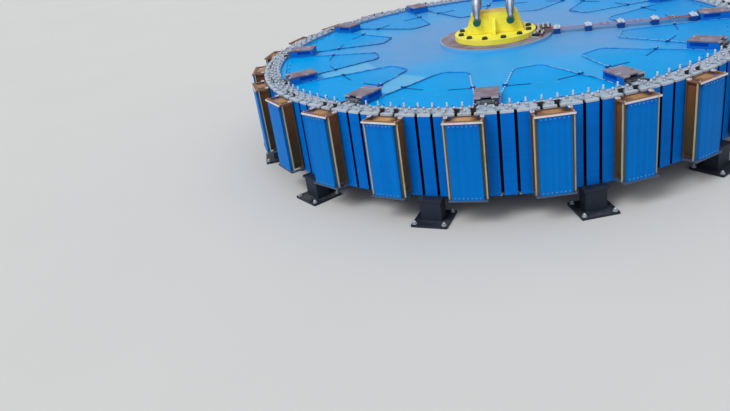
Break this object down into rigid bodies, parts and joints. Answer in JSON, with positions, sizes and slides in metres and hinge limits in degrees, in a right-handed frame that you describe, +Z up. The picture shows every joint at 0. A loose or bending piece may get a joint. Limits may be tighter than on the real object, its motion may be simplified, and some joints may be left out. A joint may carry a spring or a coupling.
{
  "type": "hydroelectric generator rotor",
  "caption": "Spoked rotor of a vertical hydroelectric generator on erection pedestals, every second field pole mounted, with a lifting device on its hub",
  "frame": {"origin": "on the floor under the shaft's axis, at the middle of the pedestals' footprint", "axes": "+Z up along the shaft's axis; -Y points to the arm nearest the viewer; +X along the arm with the field leads"},
  "size_m": [9.5374, 9.5374, 2.546],
  "materials": {
    "rim_blue": "blue paint over steel laminations",
    "disc_blue": "sky blue enamel",
    "arm_blue": "blue enamel",
    "pole_blue": "blue varnish",
    "ring_grey": "thin grey primer on machined steel",
    "machined": "machined, lightly tarnished",
    "key_dark": "oiled laminated steel",
    "copper": "varnished copper strip",
    "insulation": "glass laminate",
    "frame_pale": "pale glass laminate",
    "lift_yellow": "yellow enamel",
    "galvanised": "galvanised forging",
    "pin_green": "dark green paint",
    "pedestal_dark": "dark blue-black paint"
  },
  "bodies": {
    "rotor": {"hub_shell": "arm_blue", "hub_top_flange": "machined", "hub_coupling_flange": "machined", "spider_disc": "disc_blue", "arm_webs": "arm_blue", "arm_lower_flanges": "arm_blue", "arm_end_housings": "arm_blue", "arm_end_caps": "machined", "rim_key_packs": "key_dark", "rim_key_retainers": "ring_grey", "cover_sheets": "disc_blue", "rim_segment_01": "rim_blue", "rim_segment_02": "rim_blue", "rim_segment_03": "rim_blue", "rim_segment_04": "rim_blue", "rim_segment_05": "rim_blue", "rim_segment_06": "rim_blue", "rim_segment_07": "rim_blue", "rim_segment_08": "rim_blue", "rim_segment_09": "rim_blue", "rim_segment_10": "rim_blue", "rim_segment_11": "rim_blue", "rim_segment_12": "rim_blue", "rim_top_plates": "ring_grey", "rim_bottom_plates": "rim_blue", "brake_track": "machined", "pole_bodies": "pole_blue", "pole_coils": "copper", "outer_collars": "insulation", "inner_collars": "insulation", "pole_top_frames": "frame_pale", "pole_bottom_frames": "frame_pale", "pole_keys": "key_dark", "lifting_base": "lift_yellow", "lifting_body": "lift_yellow", "lifting_gussets": "lift_yellow", "lead_bars": "copper", "lead_clamps": "disc_blue", "lead_terminal": "insulation", "rim_pedestals": "pedestal_dark"},
    "left_shackle": {"left_shackle_bow": "galvanised", "left_shackle_pin": "pin_green"},
    "right_shackle": {"right_shackle_bow": "galvanised", "right_shackle_pin": "pin_green"}
  },
  "joints": [
    {"name": "left_shackle_pivot", "type": "hinge", "parent": "rotor", "child": "left_shackle", "pos_m": [-0.31, 0, 2.02], "axis": [0, 1, 0], "range_deg": [-95, 25]},
    {"name": "right_shackle_pivot", "type": "hinge", "parent": "rotor", "child": "right_shackle", "pos_m": [0.31, 0, 2.02], "axis": [0, 1, 0], "range_deg": [-25, 95]}
  ]
}
